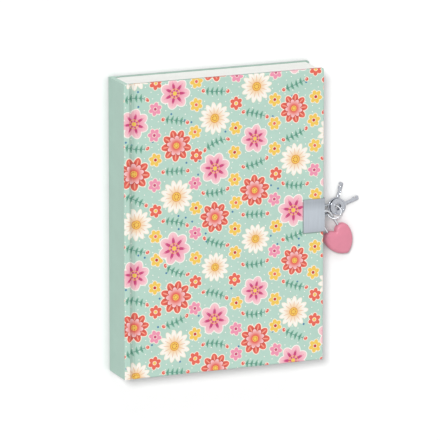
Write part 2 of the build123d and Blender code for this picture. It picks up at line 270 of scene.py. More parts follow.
def length(x, y):
    """Distance of a point from the origin of its plane."""
    point = put(x.tree, "ShaderNodeCombineXYZ", {0: x, 1: y}).outputs[0]
    node = put(x.tree, "ShaderNodeVectorMath", {0: point}, operation="LENGTH")
    return Field(x.tree, node.outputs["Value"])


def start(name, stored=None):
    """A new material with its tree, its Principled shader and the object's coordinates.

    stored names a mesh attribute with the place of each point at rest, for a piece that bends.
    """
    material = bpy.data.materials.new(name)
    material.use_nodes = True
    tree = material.node_tree
    tree.nodes.clear()
    out = put(tree, "ShaderNodeOutputMaterial")
    shader = put(tree, "ShaderNodeBsdfPrincipled")
    tree.links.new(shader.outputs["BSDF"], out.inputs["Surface"])
    if stored:
        place = put(tree, "ShaderNodeAttribute", attribute_name=stored).outputs["Vector"]
    else:
        place = put(tree, "ShaderNodeTexCoord").outputs["Object"]
    return material, tree, shader, place


def split(tree, vector):
    """The three parts of a vector."""
    outputs = put(tree, "ShaderNodeSeparateXYZ", {"Vector": vector}).outputs
    return [Field(tree, socket) for socket in outputs]


def noise(tree, place, per_metre, detail=3.0, rough=0.5):
    """Noise with so many features to the metre; three numbers stretch it along the axes."""
    stretch = per_metre if isinstance(per_metre, tuple) else (per_metre,) * 3
    moved = put(tree, "ShaderNodeMapping", {"Vector": place, "Scale": stretch})
    inputs = {"Vector": moved.outputs[0], "Scale": 1.0, "Detail": detail, "Roughness": rough}
    return Field(tree, put(tree, "ShaderNodeTexNoise", inputs).outputs["Fac"])


def ramp(tree, factor, stops, steps=False):
    """A colour ramp through (position, colour) stops."""
    node = put(tree, "ShaderNodeValToRGB", {"Fac": factor})
    node.color_ramp.interpolation = "CONSTANT" if steps else "LINEAR"
    elements = node.color_ramp.elements
    while len(elements) < len(stops):
        elements.new(0.5)
    for element, (position, colour) in zip(elements, stops):
        element.position = position
        element.color = colour
    return node.outputs["Color"]


def tones(tree, factor, stops):
    """A ramp of greys through (position, value) stops."""
    return ramp(tree, factor, [(position, grey(value)) for position, value in stops])


def lay(tree, factor, under, over):
    """One colour over another."""
    inputs = {0: factor, 6: under, 7: over}
    return put(tree, "ShaderNodeMix", inputs, data_type="RGBA").outputs[2]


def bump(tree, shader, height, strength, distance, normal=None):
    """Feed a height into the shader's normal."""
    inputs = {"Height": height, "Strength": strength, "Distance": distance}
    if normal:
        inputs["Normal"] = normal
    node = put(tree, "ShaderNodeBump", inputs)
    tree.links.new(node.outputs[0], shader.inputs["Normal"])


# Cover print, in millimetres: a half-drop repeat of daisies, dahlias, pink flowers, leafy sprigs and dots


MINT = linear(185, 216, 202)
CREAM = linear(252, 240, 222)
WHITE = linear(254, 249, 240)
YELLOW = linear(246, 204, 92)
AMBER = linear(226, 146, 62)
CORAL = linear(233, 104, 86)
RED = linear(196, 56, 50)
BLUSH = linear(250, 206, 210)
PINK = linear(242, 152, 180)
MAGENTA = linear(205, 66, 122)
LEAF = linear(126, 180, 156)
LEAF_DARK = linear(84, 146, 126)
BLUE = linear(70, 132, 172)


def chance(tree, column, row, seed):
    """Three even random numbers for one place of a repeat."""
    point = put(tree, "ShaderNodeCombineXYZ", {0: column, 1: row, 2: seed})
    colour = put(tree, "ShaderNodeTexWhiteNoise", {"Vector": point.outputs[0]}).outputs["Color"]
    parts = put(tree, "ShaderNodeSeparateColor", {0: colour}).outputs
    return [Field(tree, socket) for socket in parts]


def half_drop(x, y, pitch_x, pitch_y):
    """Fold the plane into a half-drop repeat: place inside the cell, column and row."""
    column = (x / pitch_x).floor()
    odd = column.op("FLOORED_MODULO", 2.0)
    dropped = y + odd * (pitch_y / 2)
    row = (dropped / pitch_y).floor()
    return x - (column + 0.5) * pitch_x, dropped - (row + 0.5) * pitch_y, column, row


def petals(radius, angle, count, reach, long, wide, turn=0.0):
    """A ring of round petals, from their count, distance and half sizes: 1 inside one, else 0."""
    step = 2 * math.pi / count
    folded = ((angle / step + turn).op("FRACT") - 0.5) * step
    along = radius * folded.op("COSINE") - reach
    return length(along / long, radius * folded.op("SINE") / wide).below(1.0)


def daisy(tree, colour, here, radius, angle):
    """Thirteen white petals round a yellow eye."""
    colour = lay(tree, petals(radius, angle, 13, 6.4, 4.7, 1.95) * here, colour, CREAM)
    colour = lay(tree, radius.below(4.6) * here, colour, AMBER)
    tint = lay(tree, radius.ease(3.4, 7.2), linear(248, 214, 170), WHITE)
    colour = lay(tree, petals(radius, angle, 13, 6.4, 4.1, 1.42) * here, colour, tint)
    colour = lay(tree, petals(radius, angle, 13, 5.6, 2.2, 0.2) * here, colour, linear(236, 186, 150))
    colour = lay(tree, radius.below(3.1) * here, colour, AMBER)
    colour = lay(tree, radius.below(2.6) * here, colour, YELLOW)
    return lay(tree, petals(radius, angle, 8, 1.6, 0.36, 0.36) * here, colour, RED)


def dahlia(tree, colour, here, radius, angle):
    """Two rings of coral petals round a yellow eye."""
    outer = lay(tree, radius.ease(5.0, 9.6), RED, CORAL)
    inner = lay(tree, radius.ease(2.6, 6.4), CORAL, BLUSH)
    colour = lay(tree, petals(radius, angle, 9, 6.9, 4.5, 3.05) * here, colour, CREAM)
    colour = lay(tree, radius.below(5.4) * here, colour, RED)
    colour = lay(tree, petals(radius, angle, 9, 6.9, 3.9, 2.45) * here, colour, outer)
    colour = lay(tree, petals(radius, angle, 9, 7.6, 2.1, 0.5) * here, colour, linear(246, 158, 138))
    colour = lay(tree, petals(radius, angle, 9, 4.1, 3.0, 1.95, 0.5) * here, colour, RED)
    colour = lay(tree, petals(radius, angle, 9, 4.1, 2.7, 1.65, 0.5) * here, colour, inner)
    colour = lay(tree, radius.below(2.0) * here, colour, YELLOW)
    return lay(tree, petals(radius, angle, 7, 1.25, 0.3, 0.3) * here, colour, RED)


def pink_flower(tree, colour, here, radius, angle):
    """Seven wide pink petals with magenta throats and a ring of stamens."""
    blush = lay(tree, radius.ease(3.0, 9.8), PINK, BLUSH)
    colour = lay(tree, petals(radius, angle, 7, 6.0, 5.1, 3.85) * here, colour, WHITE)
    colour = lay(tree, radius.below(4.2) * here, colour, MAGENTA)
    colour = lay(tree, petals(radius, angle, 7, 6.0, 4.5, 3.25) * here, colour, blush)
    colour = lay(tree, petals(radius, angle, 7, 4.4, 2.9, 0.95) * here, colour, MAGENTA)
    colour = lay(tree, petals(radius, angle, 7, 7.4, 1.5, 0.22) * here, colour, PINK)
    colour = lay(tree, petals(radius, angle, 14, 3.1, 0.42, 0.42) * here, colour, YELLOW)
    return lay(tree, radius.below(1.5) * here, colour, YELLOW)


def small_flowers(tree, colour, x, y):
    """Six-petalled flowers in three colours, halfway between the large ones."""
    pitch_y = REPEAT_Y / 2
    column = (x / REPEAT_X + 0.5).floor()
    row = ((y - pitch_y / 2) / pitch_y + 0.5).floor()
    lucky = chance(tree, column, row, 3.0)
    u = x - column * REPEAT_X - (lucky[0] - 0.5) * 2.0
    v = y - (row + 0.5) * pitch_y - (lucky[1] - 0.5) * 2.0
    radius = length(u, v)
    angle = v.op("ARCTAN2", u) + lucky[2] * 3.0
    ink = ramp(tree, lucky[2], [(0.0, YELLOW), (0.3, CORAL), (0.55, PINK), (0.78, YELLOW)], steps=True)
    eye = ramp(tree, lucky[2], [(0.0, RED), (0.3, YELLOW), (0.55, MAGENTA), (0.78, CORAL)], steps=True)
    colour = lay(tree, petals(radius, angle, 6, 2.8, 2.5, 2.0), colour, CREAM)
    colour = lay(tree, petals(radius, angle, 6, 2.8, 2.0, 1.5), colour, ink)
    colour = lay(tree, radius.below(1.5), colour, CREAM)
    return lay(tree, radius.below(1.1), colour, eye)


def sprigs(tree, colour, x, y):
    """Leafy sprigs with a berry at each end, between the large flowers of a column."""
    u, v, column, row = half_drop(x, y + REPEAT_Y / 2, REPEAT_X, REPEAT_Y)
    lucky = chance(tree, column, row, 7.0)
    turn = (lucky[0] - 0.5) * 0.9
    cosine = turn.op("COSINE")
    sine = turn.op("SINE")
    p = u * cosine + v * sine
    q = v * cosine - u * sine
    q = q - p * p * ((lucky[1] - 0.5) * 0.05)
    side = q.size()
    inside = p.size().below(7.4)
    spacing = 3.5
    step = p - (p / spacing + 0.5).floor() * spacing
    lean = math.radians(48.0)
    s = step * math.cos(lean) + side * math.sin(lean)
    t = side * math.cos(lean) - step * math.sin(lean)
    blade = length((s - 2.5) / 2.4, t / 0.95).below(1.0) * inside
    colour = lay(tree, side.below(0.24) * p.size().below(8.4), colour, LEAF_DARK)
    colour = lay(tree, blade, colour, LEAF_DARK)
    colour = lay(tree, blade * t.above(0.0), colour, LEAF)
    berry = length(p.size() - 9.2, q)
    colour = lay(tree, berry.below(1.75), colour, CREAM)
    colour = lay(tree, berry.below(1.3), colour, CORAL)
    return lay(tree, length(p.size() - 8.8, q - 0.4).below(0.38), colour, BLUSH)


def dots(tree, colour, x, y):
    """Small pale dots over the ground, some of them larger and blue."""
    u, v, column, row = half_drop(x, y, 5.0, 5.0)
    lucky = chance(tree, column, row, 11.0)
    radius = length(u - (lucky[0] - 0.5) * 1.6, v - (lucky[1] - 0.5) * 1.6)
    colour = lay(tree, radius.below(0.4), colour, WHITE)
    return lay(tree, radius.below(0.75) * lucky[2].above(0.93), colour, BLUE)


def cover_print(tree, ground, place, edge_low):
    """The print, where the paper lies above edge_low; it runs on round the board's edges."""
    metres = split(tree, place)
    drop = metres[2] * -1.0 + front_z
    past_fore = metres[0].above(cover_high.x - PRINT_TURN)
    past_head = metres[1].size().above(head_y - PRINT_TURN) * metres[1].op("SIGN")
    x = (metres[0] + drop * past_fore) / MM + PRINT_SHIFT[0]
    y = (metres[1] + drop * past_head) / MM + PRINT_SHIFT[1]
    colour = dots(tree, ground, x, y)
    colour = sprigs(tree, colour, x, y)
    colour = small_flowers(tree, colour, x, y)
    u, v, column, row = half_drop(x, y, REPEAT_X, REPEAT_Y)
    lucky = chance(tree, column, row, 1.0)
    swell = lucky[2] * 0.16 + 0.94
    u = (u - (lucky[0] - 0.5) * 2.4) / swell
    v = (v - (lucky[1] - 0.5) * 2.4) / swell
    radius = length(u, v)
    angle = v.op("ARCTAN2", u) + lucky[0] * 6.0
    kind = (column * 2.0 + row).op("FLOORED_MODULO", 3.0)
    colour = daisy(tree, colour, kind.below(0.5), radius, angle)
    colour = dahlia(tree, colour, (kind - 1.0).size().below(0.5), radius, angle)
    colour = pink_flower(tree, colour, kind.above(1.5), radius, angle)
    return lay(tree, metres[2].above(edge_low), ground, colour)


# Materials


def toned(tree, colour, tone):
    """A colour darkened by a grey tone."""
    inputs = {0: 1.0, 6: colour, 7: tone}
    return put(tree, "ShaderNodeMix", inputs, data_type="RGBA", blend_type="MULTIPLY").outputs[2]


def painted_groove_shade(tree, colour, place):
    """Painted shade: the paper across the groove is darker, most of all in its middle."""
    across = split(tree, place)[0].ease(groove_a, groove_b)
    shades = [(0.0, 0.98), (0.1, 0.97), (0.26, 0.92), (0.42, 0.73), (0.6, 0.70), (0.78, 0.80), (1.0, 0.90)]
    return toned(tree, colour, tones(tree, across, shades))


def beside_fold(tree, colour, place):
    """The painted shade of the groove runs out over the cover next to it."""
    away = split(tree, place)[0].ease(groove_b, groove_b + FOLD_REACH)
    return toned(tree, colour, tones(tree, away, [(0.0, 0.90), (1.0, 1.0)]))


def painted_side_shade(tree, colour, outward):
    """Painted shade: where the paper is drawn round the edge of a board and glued inside, faces that do not
    face outward are darker.
    """
    facing = split(tree, put(tree, "ShaderNodeTexCoord").outputs["Normal"])[2] * outward
    return toned(tree, colour, tones(tree, facing, [(0.2, 0.70), (0.8, 1.0)]))


def painted_plate_shadow(tree, colour, place):
    """Painted shadow: the paper's face is darker along the clasp's plate, most of all on its tail side."""
    x, y, z = split(tree, place)
    beside = x * -1.0 + clasp_low.x
    along_y = (y + PLATE_LEAN).size() - (clasp_high.y - clasp_low.y) / 2
    away = beside.op("MAXIMUM", along_y).ease(0.0, PLATE_SHADE)
    shaded = toned(tree, colour, tones(tree, away, [(0.0, 0.5), (1.0, 1.0)]))
    return lay(tree, z.above(front_z - PAPER * MM), colour, shaded)


def laminate(name, edge_low=None, stored=None, outward=None):
    """Paper under a silk laminate: mottled ink, fine tooth, and the print above edge_low.

    outward is 1 or -1 for the side of a board that the paper covers, up or down.
    """
    material, tree, shader, place = start(name, stored)
    cloud = noise(tree, place, 55.0, 4.0, 0.55)
    grain = noise(tree, place, 2600.0, 2.0, 0.6)
    colour = ramp(tree, cloud, [(0.3, scaled(MINT, 0.97)), (0.7, scaled(MINT, 1.025))])
    if edge_low is not None:
        colour = cover_print(tree, colour, place, edge_low)
    # Painted shade: across the groove on the joint paper; on the covers, on faces not facing outward, as a
    # shadow along the clasp's plate, and beside the groove
    if stored:
        colour = painted_groove_shade(tree, colour, place)
    elif outward:
        colour = painted_side_shade(tree, colour, outward)
        if edge_low is not None:
            colour = painted_plate_shadow(tree, colour, place)
            colour = beside_fold(tree, colour, place)
    colour = lay(tree, grain * 0.06, colour, linear(120, 140, 130))
    tree.links.new(colour, shader.inputs["Base Color"])
    tooth = tones(tree, noise(tree, place, 700.0, 3.0, 0.6), [(0.25, 0.40), (0.75, 0.52)])
    tree.links.new(tooth, shader.inputs["Roughness"])
    shader.inputs["Specular IOR Level"].default_value = 0.35
    bump(tree, shader, grain, 0.10, 0.06 * MM)
    return material


def paper(name, colour, ruled=False):
    """Uncoated paper: the cut edges show the thin leaves as uneven lines, the faces may be ruled."""
    material, tree, shader, place = start(name)
    leaves = noise(tree, place, (6.0, 6.0, 5200.0), 3.0, 0.75)
    bundles = noise(tree, place, (4.0, 4.0, 800.0), 2.0, 0.6)
    fibre = noise(tree, place, 1800.0, 3.0, 0.6)
    facing = split(tree, put(tree, "ShaderNodeTexCoord").outputs["Normal"])
    flat = facing[2].size().above(0.7)
    lines = ramp(tree, leaves, [(0.3, scaled(colour, 0.88)), (0.5, colour), (0.8, scaled(colour, 1.04))])
    edge = lay(tree, bundles.ease(0.5, 0.8) * 0.5, lines, scaled(colour, 0.82))
    sheet = ramp(tree, fibre, [(0.3, scaled(colour, 0.975)), (0.7, scaled(colour, 1.02))])
    if ruled:
        x, y = split(tree, place)[:2]
        line = ((y + 1.0) / RULE_PITCH).op("FRACT").below(RULE_SHARE)
        in_height = (y - RULED_MIDDLE[1]).size().below(RULED_HALF[1])
        in_width = (x - RULED_MIDDLE[0]).size().below(RULED_HALF[0])
        sheet = lay(tree, line * in_height * in_width * 0.6, sheet, linear(150, 190, 180))
    tree.links.new(lay(tree, flat, edge, sheet), shader.inputs["Base Color"])
    shader.inputs["Roughness"].default_value = 0.8
    shader.inputs["Specular IOR Level"].default_value = 0.2
    bump(tree, shader, lay(tree, flat, leaves, fibre), 0.3, 0.08 * MM)
    return material


def greyboard(name, colour):
    """Pulp board with soft flecks."""
    material, tree, shader, place = start(name)
    pulp = noise(tree, place, 900.0, 5.0, 0.7)
    fleck = noise(tree, place, 3200.0, 2.0, 0.5)
    base = ramp(tree, pulp, [(0.25, scaled(colour, 0.82)), (0.75, scaled(colour, 1.12))])
    tree.links.new(lay(tree, fleck.above(0.66), base, scaled(colour, 0.6)), shader.inputs["Base Color"])
    shader.inputs["Roughness"].default_value = 0.9
    bump(tree, shader, pulp, 0.4, 0.1 * MM)
    return material


def lining_cloth(name, colour):
    """Open-weave cloth glued to the back of the sewn pages."""
    material, tree, shader, place = start(name)
    y, z = split(tree, place)[1:]
    warp = (y * (2 * math.pi / THREAD)).op("SINE")
    weft = (z * (2 * math.pi / THREAD)).op("SINE")
    weave = warp.op("MAXIMUM", weft) * 0.5 + 0.5
    cloth = ramp(tree, weave, [(0.2, scaled(colour, 0.7)), (0.7, colour)])
    tree.links.new(cloth, shader.inputs["Base Color"])
    shader.inputs["Roughness"].default_value = 0.85
    bump(tree, shader, weave, 0.5, 0.1 * MM)
    return material


def near_edge(tree, reach):
    """1 at a sharp edge, falling to 0 at reach millimetres from it."""
    wide = put(tree, "ShaderNodeBevel", {"Radius": reach * MM}, samples=8).outputs[0]
    true = put(tree, "ShaderNodeNewGeometry").outputs["True Normal"]
    match = put(tree, "ShaderNodeVectorMath", {0: wide, 1: true}, operation="DOT_PRODUCT")
    return Field(tree, match.outputs["Value"]).ease(0.97, 0.75)


def steel(name, colour, rough, brush, depth, edge, half=None):
    """Bright or satin steel: directional brush marks, uneven polish, softened edges and painted shade near
    them.

    edge is the radius of the softened edges, in millimetres. half is the half length of a plate, along y,
    which gets a painted reflection, darker towards its ends.
    """
    material, tree, shader, place = start(name)
    marks = noise(tree, place, brush, 4.0, 0.7)
    polish = noise(tree, place, 160.0, 3.0, 0.5)
    base = ramp(tree, marks, [(0.3, scaled(colour, 0.92)), (0.7, scaled(colour, 1.07))])
    cast = noise(tree, place, (90.0, 30.0, 90.0), 2.0, 0.5)
    base = lay(tree, cast.ease(0.35, 0.7) * 0.25, base, scaled(colour, 0.75))
    # Painted shade: the colour darkens near every sharp edge
    base = lay(tree, near_edge(tree, 3 * edge) * 0.65, base, scaled(colour, 0.35))
    # Painted reflection: a plate's colour darkens towards its ends along y
    if half:
        shades = [(0.0, 0.86), (0.15, 0.94), (0.4, 1.0), (0.65, 1.0), (0.9, 0.78), (1.0, 0.82)]
        along_plate = split(tree, place)[1].ease(-half, half)
        base = toned(tree, base, tones(tree, along_plate, shades))
    tree.links.new(base, shader.inputs["Base Color"])
    shader.inputs["Metallic"].default_value = 1.0
    worn = tones(tree, polish, [(0.3, rough), (0.75, rough * 1.15)])
    tree.links.new(worn, shader.inputs["Roughness"])
    soft = put(tree, "ShaderNodeBevel", {"Radius": edge * MM}, samples=6)
    bump(tree, shader, marks, depth, 0.02 * MM, soft.outputs[0])
    return material


def enamel(name, colour):
    """Sprayed satin enamel with a slight orange peel."""
    material, tree, shader, place = start(name)
    peel = noise(tree, place, 1400.0, 2.0, 0.4)
    cloud = noise(tree, place, 160.0, 3.0, 0.5)
    base = ramp(tree, cloud, [(0.25, scaled(colour, 0.965)), (0.75, scaled(colour, 1.035))])
    tree.links.new(base, shader.inputs["Base Color"])
    sheen = tones(tree, peel, [(0.3, 0.36), (0.7, 0.46)])
    tree.links.new(sheen, shader.inputs["Roughness"])
    shader.inputs["Specular IOR Level"].default_value = 0.4
    bump(tree, shader, peel, 0.12, 0.05 * MM)
    return material


REST = "rest_place"
cover_printed = laminate("cover_printed", inner_z + PRINT_FOOT, outward=1.0)
shoulder_printed = laminate("shoulder_printed", front_z - SHOULDER_FACE)
joint_printed = laminate("joint_printed", inner_z + PRINT_FOOT, REST)
MATERIALS = {
    "cover_paper": laminate("cover_plain", outward=-1.0),
    "board": greyboard("greyboard", linear(168, 162, 150)),
    "endpaper": paper("endpaper", linear(250, 248, 240)),
    "pages": paper("pages", linear(253, 254, 249), ruled=True),
    "lining": lining_cloth("lining_cloth", linear(236, 232, 220)),
    "clasp": steel("clasp_satin", linear(195, 202, 210), rough=0.32, brush=CLASP_BRUSH, depth=0.3,
                   edge=0.15, half=clasp_high.y),
    "shackle_wire": steel("shackle_bright", linear(218, 220, 224), rough=0.12, brush=900.0, depth=0.08,
                          edge=0.1),
    "heart_enamel": enamel("pink_enamel", linear(225, 139, 159)),
    "spring_steel": steel("spring_steel", linear(170, 172, 176), rough=0.3, brush=1500.0, depth=0.2,
                          edge=0.05),
    "ring_wire": steel("ring_bright", linear(206, 208, 213), rough=0.14, brush=900.0, depth=0.08, edge=0.1),
    "key_metal": steel("key_bright", linear(190, 193, 200), rough=0.16, brush=KEY_BRUSH, depth=0.12,
                       edge=0.12),
}
PRINTED = {"front_cover_paper": cover_printed, "spine_paper": shoulder_printed}
for part in frame["record"]["subparts"]:
    mesh = nodes[part["node"]].data
    mesh.materials.clear()
    mesh.materials.append(PRINTED.get(part["node"], MATERIALS[part["material_slot"]]))


# Mesh helpers


def add_mesh(name, points, faces, material, smooth=None):
    """A new object; smooth is the angle in degrees above which an edge stays sharp."""
    mesh = bpy.data.meshes.new(name)
    mesh.from_pydata(points, [], faces)
    mesh.materials.append(material)
    mesh.validate()
    if smooth is not None:
        mesh.shade_smooth()
        mesh.set_sharp_from_angle(angle=math.radians(smooth))
    mesh.update()
    obj = bpy.data.objects.new(name, mesh)
    scene.collection.objects.link(obj)
    return obj


def slab_faces(rows, columns, first, offset):
    """Faces of a closed slab whose two sides are grids of points."""
    faces = []
    for j in range(rows - 1):
        for i in range(columns - 1):
            a = first + j * columns + i
            top = (a, a + 1, a + columns + 1, a + columns)
            faces.append(top)
            faces.append(tuple(index + offset for index in reversed(top)))
    rim = [first + i for i in range(columns)]
    rim += [first + j * columns + columns - 1 for j in range(1, rows)]
    rim += [first + (rows - 1) * columns + i for i in range(columns - 2, -1, -1)]
    rim += [first + j * columns for j in range(rows - 2, 0, -1)]
    for a, b in zip(rim, rim[1:] + rim[:1]):
        faces.append((b, a, a + offset, b + offset))
    return faces


def slab(name, grids, thickness, material):
    """Thin closed sheets: each grid of points is given a second side, thickness away."""
    points = []
    faces = []
    for grid in grids:
        first = len(points)
        near = [Vector(point) for row in grid for point in row]
        points += near + [point + thickness for point in near]
        faces += slab_faces(len(grid), len(grid[0]), first, len(near))
    return add_mesh(name, points, faces, material, smooth=SHEET_ANGLE)


def remember_place(piece):
    """Keep each point's place at rest, for a print that stays put when the piece bends."""
    mesh = piece.data
    kept = mesh.attributes.new(REST, "FLOAT_VECTOR", "POINT")
    kept.data.foreach_set("vector", [part for vertex in mesh.vertices for part in vertex.co])


# Front joint: the paper in the groove, keeping each point's place at rest for its print, and its folded
# ends


def groove_height(x):
    """Outer face of the paper across the groove, a round channel."""
    half = (groove_b - groove_a) / 2
    depth = GROOVE_DEPTH * MM
    radius = (half * half + depth * depth) / (2 * depth)
    off = x - (groove_a + groove_b) / 2
    return front_z - depth + radius - math.sqrt(radius * radius - off * off)


def between(low, high, count):
    return [low + (high - low) * k / count for k in range(count + 1)]


across = between(groove_a, groove_b, JOINT_CELLS[0])
channel = [[(x, y, groove_height(x)) for x in across] for y in between(-head_y, head_y, JOINT_CELLS[1])]
front_joint = slab("front_joint", [channel], Vector((0, 0, -PAPER * MM)), joint_printed)
remember_place(front_joint)
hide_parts("front_joint_paper")
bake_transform(front_joint)

folds = []
for y in (-head_y + PAPER * MM, head_y):
    upper = [(x, y, groove_height(x) - PAPER * MM) for x in across]
    lower = [(x, y, inner_z + FOLD_END_GAP * MM) for x in across]
    folds.append([upper, lower])
joint_ends = slab("front_joint_ends", folds, Vector((0, -PAPER * MM, 0)), MATERIALS["cover_paper"])
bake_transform(joint_ends)

# Gutters: each turning group of leaves runs into the sewn back
for body in ("front_flyleaf", "first_leaves", "second_leaves"):
    low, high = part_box(body)
    gutter_x = between(page_low.x + GUTTER_START, low.x, GUTTER_CELLS[0])
    level = high.z - GUTTER_SKIN
    grid = [[(x, y, level) for x in gutter_x] for y in between(low.y, high.y, GUTTER_CELLS[1])]
    depth = Vector((0, 0, low.z - level + GUTTER_SKIN))
    gutter = slab(f"{body}_gutter", [grid], depth, MATERIALS["pages"])
    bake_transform(gutter)


# Heart padlock body: pressed shells with a rolled rim, a crowned face, a seam, leg holes and a keyway


def arc(centre, radius, first, last, count):
    """Points along an arc, without its last one."""
    angles = [first + (last - first) * k / count for k in range(count)]
    return [(centre[0] + radius * math.cos(a), centre[1] + radius * math.sin(a)) for a in angles]


def heart_outline(inset):
    """Right half from the notch to the point, then the left half back; all arcs are tangent."""
    lobe = Vector((LOBE_X, LOBE_Y))
    point = Vector((0.0, TIP_Y))
    notch = Vector((0.0, LOBE_Y + math.sqrt((LOBE_RADIUS + NOTCH_RADIUS) ** 2 - LOBE_X**2)))
    slope = point - lobe
    to_lobe = FLANK_RADIUS - LOBE_RADIUS
    to_point = FLANK_RADIUS - TIP_RADIUS
    foot = (to_lobe**2 - to_point**2 + slope.length_squared) / (2 * slope.length)
    rise = math.sqrt(to_lobe**2 - foot**2)
    square = Vector((slope.y, -slope.x)).normalized()
    flank = lobe + slope.normalized() * foot + square * rise
    shoulder = math.atan2(notch.y - lobe.y, notch.x - lobe.x)
    side = math.atan2(lobe.y - flank.y, lobe.x - flank.x)
    chin = math.atan2(point.y - flank.y, point.x - flank.x)
    right = arc(notch, NOTCH_RADIUS + inset, -math.pi / 2, shoulder - math.pi, NOTCH_POINTS)
    right += arc(lobe, LOBE_RADIUS - inset, shoulder, side, LOBE_POINTS)
    right += arc(flank, FLANK_RADIUS - inset, side, chin, FLANK_POINTS)
    right += arc(point, TIP_RADIUS - inset, chin, -math.pi / 2, TIP_POINTS)
    bottom = [(0.0, TIP_Y - TIP_RADIUS + inset)]
    return right + bottom + [(-x, y) for x, y in reversed(right[1:])]


def heart_rings():
    """Rings of the closed form from the back face to the front face, as outline and height."""
    upper = [*HEART_SEAM, (0.0, HALF_HEART - HEART_RIM)]
    for k in range(1, RIM_POINTS + 1):
        a = k * math.pi / (2 * RIM_POINTS)
        fall = HEART_CROWN + (HEART_RIM - HEART_CROWN) * (1 - math.sin(a))
        upper.append((HEART_RIM * (1 - math.cos(a)), HALF_HEART - fall))
    rings = [(heart_outline(inset), height) for inset, height in upper]
    last = rings[-1][0]
    for share in CROWN_SHARES:
        ring = [(x * share, HEART_MIDDLE + (y - HEART_MIDDLE) * share) for x, y in last]
        rings.append((ring, HALF_HEART - HEART_CROWN * share**CROWN_POWER))
    lower = [(ring, -height) for ring, height in reversed(rings[1:])]
    return lower + rings


def heart_form():
    """Points and faces of the closed heart."""
    rings = heart_rings()
    count = len(rings[0][0])
    points = [(x, y, z) for ring, z in rings for x, y in ring]
    points += [(0.0, HEART_MIDDLE, -HALF_HEART), (0.0, HEART_MIDDLE, HALF_HEART)]
    top = (len(rings) - 1) * count
    faces = []
    for i in range(count):
        j = (i + 1) % count
        for k in range(0, top, count):
            faces.append((k + j, k + i, k + count + i, k + count + j))
        faces.append((i, j, len(points) - 2))
        faces.append((top + j, top + i, len(points) - 1))
    return points, faces


def circle(radius, count):
    """Points round a circle."""
    return arc((0, 0), radius, 0, 2 * math.pi, count)


def leg_hole(x, low):
    """Points and faces of a hole for one leg, along the padlock's y."""
    sides = BORE_POINTS
    points = []
    for y in (low, BORE_TOP):
        points += [(x + cx, y, cz) for cx, cz in circle(BORE_RADIUS, sides)]
    faces = [tuple(range(sides)), tuple(reversed(range(sides, 2 * sides)))]
    for i in range(sides):
        j = (i + 1) % sides
        faces.append((j, i, i + sides, j + sides))
    return points, faces


def prism(outline, low, high):
    """Points and faces of an outline raised from one height to another."""
    count = len(outline)
    points = [(x, y, z) for z in (low, high) for x, y in outline]
    faces = [tuple(reversed(range(count))), tuple(range(count, 2 * count))]
    for i in range(count):
        j = (i + 1) % count
        faces.append((i, j, j + count, i + count))
    return points, faces


def block(left, right, front, back, low, high):
    """Points and faces of a block."""
    return prism([(left, front), (right, front), (right, back), (left, back)], low, high)


def sweep(stations, profile, closed=False):
    """Points and faces of a bar: each station is a centre, two directions across it and a scale."""
    points = []
    for centre, first, second, scale in stations:
        points += [centre + first * (a * scale) + second * (b * scale) for a, b in profile]
    count = len(profile)
    total = len(points)
    faces = []
    if not closed:
        faces = [tuple(reversed(range(count))), tuple(range(total - count, total))]
    for k in range(0, total if closed else total - count, count):
        following = (k + count) % total
        for i in range(count):
            j = (i + 1) % count
            faces.append((k + i, k + j, following + j, following + i))
    return points, faces


def settle(body):
    """Make the result of a mesh's modifiers its own mesh."""
    result = bpy.data.meshes.new_from_object(body.evaluated_get(bpy.context.evaluated_depsgraph_get()))
    body.modifiers.clear()
    body.data = result


def cut(body, name, form):
    """Take a form out of a mesh, for good."""
    tool = add_mesh(name, *form, body.data.materials[0])
    step = body.modifiers.new(name, "BOOLEAN")
    step.operation = "DIFFERENCE"
    step.solver = "EXACT"
    step.object = tool
    settle(body)
    bpy.data.objects.remove(tool)


def merge(mesh):
    """Join points that fall together and drop faces without area."""
    work = bmesh.new()
    work.from_mesh(mesh)
    bmesh.ops.remove_doubles(work, verts=work.verts, dist=SAME_POINT)
    bmesh.ops.dissolve_degenerate(work, edges=work.edges, dist=SAME_POINT)
    bmesh.ops.triangulate(work, faces=[face for face in work.faces if len(face.verts) > 4])
    bmesh.ops.dissolve_degenerate(work, edges=work.edges, dist=SAME_POINT)
    work.to_mesh(mesh)
    work.free()


def fit(piece, place, body, slot, *replaced):
    """Put a piece drawn in millimetres into its place on its body, for the solids that it replaces."""
    merge(piece.data)
    piece.data.transform(place @ Matrix.Scale(MM, 4))
    piece.data.shade_smooth()
    piece.data.set_sharp_from_angle(angle=math.radians(METAL_ANGLE))
    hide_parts(*replaced)
    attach(piece, body)


turned = Matrix.Rotation(math.radians(PADLOCK_TURN), 4, "Z")
padlock_place = Matrix.Translation(Vector(PADLOCK_AT) * MM) @ turned
heart = add_mesh("heart_body", *heart_form(), MATERIALS["heart_enamel"])
cut(heart, "long_leg_hole", leg_hole(-LEG_X, LONG_BORE_END))
cut(heart, "short_leg_hole", leg_hole(LEG_X, SHORT_BORE_END))
keyway_low = TIP_Y - TIP_RADIUS
cut(heart, "keyway", block(-KEYWAY_WIDTH / 2, KEYWAY_WIDTH / 2, keyway_low - KEYWAY_PAST,
                           keyway_low + KEYWAY_REACH, -KEYWAY_HEIGHT / 2, KEYWAY_HEIGHT / 2))
fit(heart, padlock_place, "padlock_body", "heart_enamel", "heart_front_shell", "heart_back_shell")


# Shackle: one round wire bent to a bow, its ends chamfered and its short leg notched for the spring


